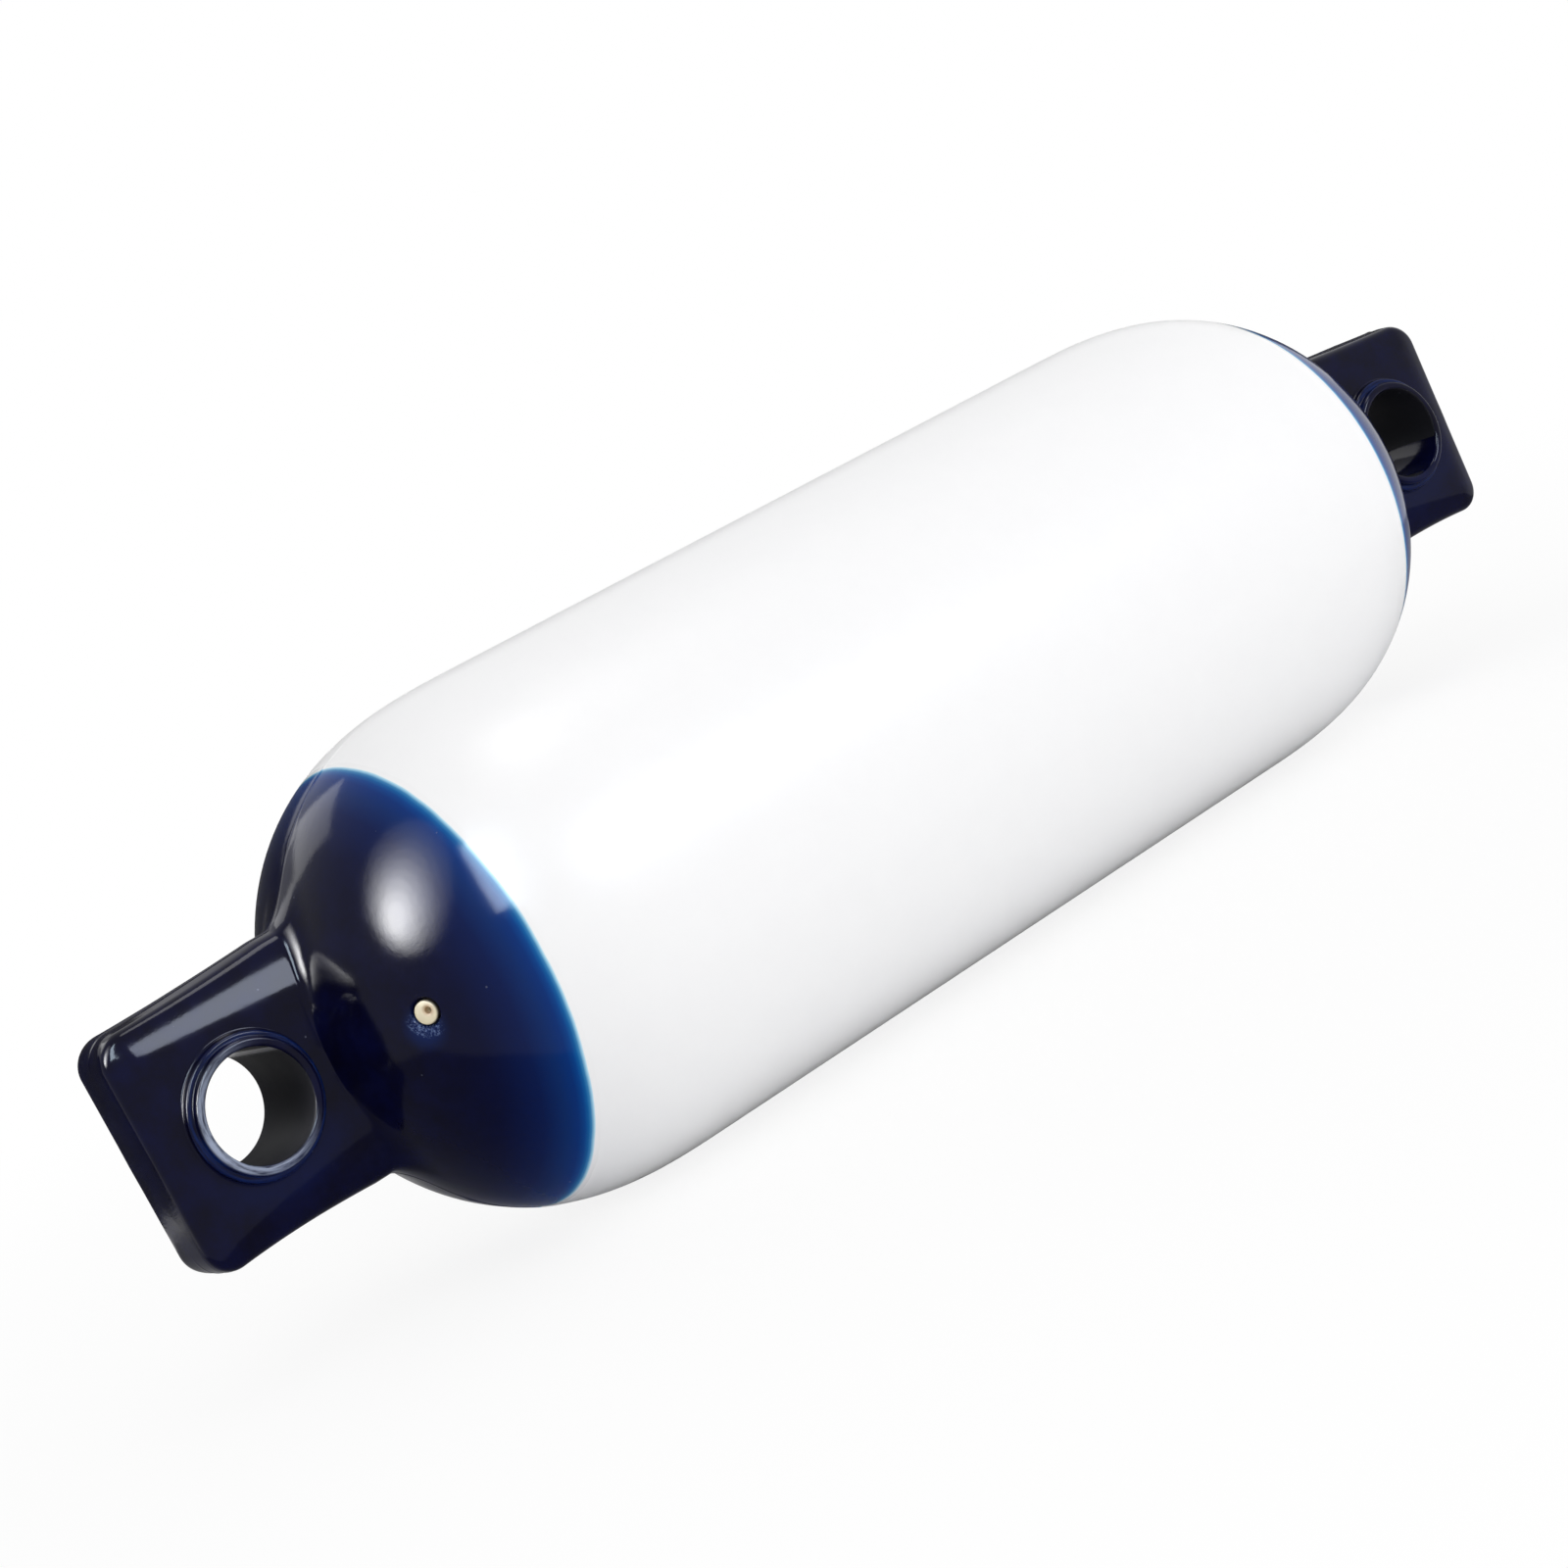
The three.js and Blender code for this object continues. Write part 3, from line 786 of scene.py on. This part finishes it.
def vinyl_material(surface, specks, band):
    material, tree, shader, position = new_material("glossy_vinyl")
    places = vinyl_places(tree, position)
    beyond_line = beyond_paint_line(tree, position, places["along"])
    inputs = {"Position": position, "Swell": 0.5, "Peel": 0.12, "Tooth": 0.05}
    skin = use_group(tree, surface, inputs)
    mottle = skin.outputs["Mottle"]
    colour = coated_vinyl(tree, beyond_line, mottle)

    streaks = rope_streaks(tree, places)
    wear_and_highlight = worn_and_highlit_lip(tree, band, places, streaks)
    # The pale lip is partly wear and partly a painted highlight.
    colour = laid_over(tree, colour, wear_and_highlight, 0.9, WORN_AND_HIGHLIT_LIP)
    colour = laid_over(tree, colour, blue_step(tree, band, places, streaks), 0.8, STEP_BLUE)
    colour = laid_over(tree, colour, below_collar(tree, places), 0.5, BLUE_BELOW_COLLAR)
    hole_wall = wall_of_hole(tree, places)
    # The hole's wall is painted dark: painted shade.
    colour = mixed(tree, hole_wall, colour, HOLE_WALL_SHADE)
    colour = coat_round_valve(tree, band, position, colour)
    dust = use_group(tree, specks, {"Position": position, "Scale": 330.0, "Share": 0.05})
    dust = maths(tree, "MULTIPLY", dust.outputs["Mask"], eased(tree, beyond_line, 0, 1.2 * MM))
    colour = laid_over(tree, colour, dust, 0.25, DUST_ON_NAVY)

    rough = vinyl_roughness(tree, mottle, beyond_line, hole_wall, wear_and_highlight)
    tree.links.new(colour, shader.inputs["Base Color"])
    tree.links.new(rough, shader.inputs["Roughness"])
    bumped(tree, shader, 0.35, 0.4 * MM, skin.outputs["Height"])
    shader.inputs["Specular IOR Level"].default_value = 0.1
    return material


# Cream rubber, stained round the needle hole, with painted shade inside the needle hole and in the gap
# round the button's edge.
def rubber_material(surface, specks):
    material, tree, shader, position = new_material("cream_rubber")
    inputs = {"Position": position, "Swell": 0.2, "Peel": 0.4, "Tooth": 0.3}
    skin = use_group(tree, surface, inputs)
    colour = mixed(tree, skin.outputs["Mottle"], *CREAM_RUBBER)
    from_needle = distance_to(tree, position, needle_point())
    stain = fading(tree, from_needle, 1.0 * MM, 2.3 * MM)
    colour = laid_over(tree, colour, stain, 0.8, NEEDLE_STAIN)
    # Painted shade inside the needle hole.
    colour = mixed(tree, fading(tree, from_needle, 0.7 * MM, 1.2 * MM), colour, NEEDLE_HOLE_SHADE)
    # Painted shade in the gap round the button's edge.
    edge = eased(tree, distance_to(tree, position, valve_point()), 3.2 * MM, 3.9 * MM)
    colour = mixed(tree, edge, colour, RUBBER_EDGE_SHADE)
    dust = use_group(tree, specks, {"Position": position, "Scale": 1500.0, "Share": 0.08})
    colour = laid_over(tree, colour, dust.outputs["Mask"], 0.3, DUST_ON_RUBBER)
    tree.links.new(colour, shader.inputs["Base Color"])
    bumped(tree, shader, 0.3, 0.15 * MM, skin.outputs["Height"])
    shader.inputs["Roughness"].default_value = 0.55
    return material


# White paper for the camera and for reflections, strongest away from the fender, whose shadow it keeps.
def seen_directly(tree):
    path = add(tree, "ShaderNodeLightPath")
    seen = maths(tree, "ADD", path.outputs["Is Camera Ray"], path.outputs["Is Glossy Ray"])
    return maths(tree, "ADD", seen, path.outputs["Is Transmission Ray"], clamp=True)


def floor_material():
    material, tree, shader, position = new_material("white_floor")
    shader.inputs["Base Color"].default_value = (0.95, 0.95, 0.95, 1)
    shader.inputs["Roughness"].default_value = 0.9
    shader.inputs["Specular IOR Level"].default_value = 0
    paper = add(tree, "ShaderNodeEmission", None, {"Strength": 1.0})
    away = eased(tree, distance_to(tree, position, (0, 0, 0)), 0.1, 0.8)
    white = maths(tree, "ADD", maths(tree, "MULTIPLY", away, 1 - PAPER_WHITE), PAPER_WHITE)
    white = maths(tree, "MULTIPLY", white, seen_directly(tree))
    inputs = {0: white, 1: shader.outputs[0], 2: paper.outputs[0]}
    mix = add(tree, "ShaderNodeMixShader", None, inputs)
    tree.links.new(mix.outputs[0], tree.nodes["Material Output"].inputs["Surface"])
    return material


def make_floor():
    corners = [(-1, -1), (1, -1), (1, 1), (-1, 1)]
    corners = [(x * FLOOR_HALF, y * FLOOR_HALF, 0) for x, y in corners]
    floor = mesh_piece("studio_floor", corners, [(0, 1, 2, 3)])
    floor.location.z = -FLOOR_GAP
    floor.data.materials.append(floor_material())


def make_world():
    world = bpy.data.worlds.new("studio")
    world.use_nodes = True
    tree = world.node_tree
    seen = seen_directly(tree)
    background = tree.nodes["Background"]
    strength = add(
        tree, "ShaderNodeMapRange", None, {"Value": seen, "To Min": WORLD_FILL, "To Max": 1.0}
    )
    tree.links.new(strength.outputs["Result"], background.inputs["Strength"])
    background.inputs["Color"].default_value = (1, 1, 1, 1)
    bpy.context.scene.world = world


# The direction of an azimuth and an elevation, in degrees.
def direction(azimuth, elevation):
    turn = math.radians(azimuth)
    rise = math.radians(elevation)
    return Vector((math.cos(turn) * math.cos(rise), math.sin(turn) * math.cos(rise), math.sin(rise)))


# An area lamp that shines at a point from a direction. brightness is what a mirror would show of it.
def lamp(name, target, azimuth, elevation, distance, width, height, brightness, colour=(1, 1, 1)):
    light = bpy.data.lights.new(name, "AREA")
    light.shape = "RECTANGLE"
    light.size = width
    light.size_y = height
    light.energy = brightness * math.pi * width * height
    light.color = colour
    towards = direction(azimuth, elevation)
    made = bpy.data.objects.new(name, light)
    made.location = Vector(target) + towards * distance
    made.rotation_mode = "QUATERNION"
    made.rotation_quaternion = towards.to_track_quat("Z", "Y")
    bpy.context.scene.collection.objects.link(made)
    return made


# The main light fades from its middle outwards, and its core lies lower and more to the side.
def key_light():
    stack = []
    shown = 0
    for i in range(KEY_STEPS):
        share = i / (KEY_STEPS - 1)
        size = KEY_WIDEST - (KEY_WIDEST - KEY_CORE) * share
        falloff = KEY_FALLOFF * (size / KEY_FALLOFF_SIZE) ** KEY_FALLOFF_POWER
        brightness = KEY_BRIGHTNESS * math.exp(-falloff)
        azimuth = -167.5 - 7 * share
        elevation = 43 - 12 * share**0.8
        place = (NEAR_SHOULDER, azimuth, elevation, 1.7 - 0.02 * i, size, 1.3 * size)
        ellipse = lamp(f"key_{i}", *place, brightness - shown)
        ellipse.data.shape = "ELLIPSE"
        ellipse.data.energy *= math.pi / 4
        stack.append(ellipse)
        shown = brightness
    return stack


# Soft boxes light the fender without showing in its gloss. Windows and the main light show only there.
def make_lights():
    soft = [
        lamp("overhead_softbox", MIDDLE, -105, 56, 2.6, 1.8, 1.8, 0.95),
        lamp("front_softbox", MIDDLE, -66, 10, 2.8, 2.2, 0.9, 2.3),
    ]
    for light in soft:
        light.visible_glossy = False
    glints = key_light() + [
        lamp("window", NEAR_SHOULDER, -115.5, 38, 1.6, 0.42, 0.95, 38, COOL_WINDOW),
        lamp("long_window", (-0.26, -0.01, 0.115), -64, 20.5, 2.0, 0.9, 0.7, 22, COOL_LONG_WINDOW),
        lamp("rim_window", (-0.2, 0, 0.15), 105, 38, 1.8, 0.7, 0.6, 2.8),
        lamp("ceiling_lamp", (-0.26, 0, 0.12), -20, 66, 2.0, 0.8, 0.5, 9),
    ]
    for light in glints:
        light.visible_diffuse = False


# Grey cards, as photographers use: one behind the fender, and one on the floor by the fender, a painted
# shadow that darkens the floor there as the gloss shows it. Only reflections see them.
def make_cards():
    behind = [(-0.62, 0.35, 0), (0.8, 0.35, 0), (0.8, 0.35, 0.28), (-0.62, 0.35, 0.28)]
    under = [(-0.47, -0.045), (-0.286, -0.112), (0.3, -0.16), (0.62, 0.3), (-0.47, 0.3)]
    under = [(x, y, 0.02 * MM) for x, y in under]
    # The card on the floor is a painted shadow, seen only in the gloss.
    for name, corners, grey in (("card_behind", behind, 0.1), ("shadow_card_under", under, 0.45)):
        card = mesh_piece(name, corners, [tuple(range(len(corners)))])
        material, _, shader, _ = new_material(f"{name}_cloth")
        shader.inputs["Base Color"].default_value = (grey, grey, grey, 1)
        shader.inputs["Roughness"].default_value = 1
        shader.inputs["Specular IOR Level"].default_value = 0
        card.data.materials.append(material)
        card.visible_camera = False
        card.visible_diffuse = False
        card.visible_shadow = False


def make_camera():
    camera = bpy.data.cameras.new("camera")
    camera.sensor_width = 36
    camera.lens = CAMERA_LENS
    camera.clip_start = 0.02
    camera.clip_end = 100
    forward = direction(CAMERA_HEADING, CAMERA_TILT)
    level = forward.cross(Vector((0, 0, 1))).normalized()
    above = level.cross(forward)
    right = level * math.cos(CAMERA_ROLL) + above * math.sin(CAMERA_ROLL)
    up = right.cross(forward)
    place = Matrix((right, up, -forward)).transposed().to_4x4()
    place.translation = CAMERA_FROM_AXIS + Vector((0, 0, AXIS_HEIGHT))
    made = bpy.data.objects.new("camera", camera)
    made.matrix_world = place
    bpy.context.scene.collection.objects.link(made)
    bpy.context.scene.camera = made


surface = moulded_surface()
specks = dust_specks()
band = soft_band()

shell = make_shell()
shell.data.materials.clear()
shell.data.materials.append(vinyl_material(surface, specks, band))
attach(shell, "root")
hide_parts("fender_shell")

valve = make_valve()
valve.data.materials.append(rubber_material(surface, specks))
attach(valve, "root")
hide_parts("valve_plug")

make_floor()
make_world()
make_lights()
make_cards()
make_camera()
bpy.context.scene.view_settings.view_transform = "Standard"
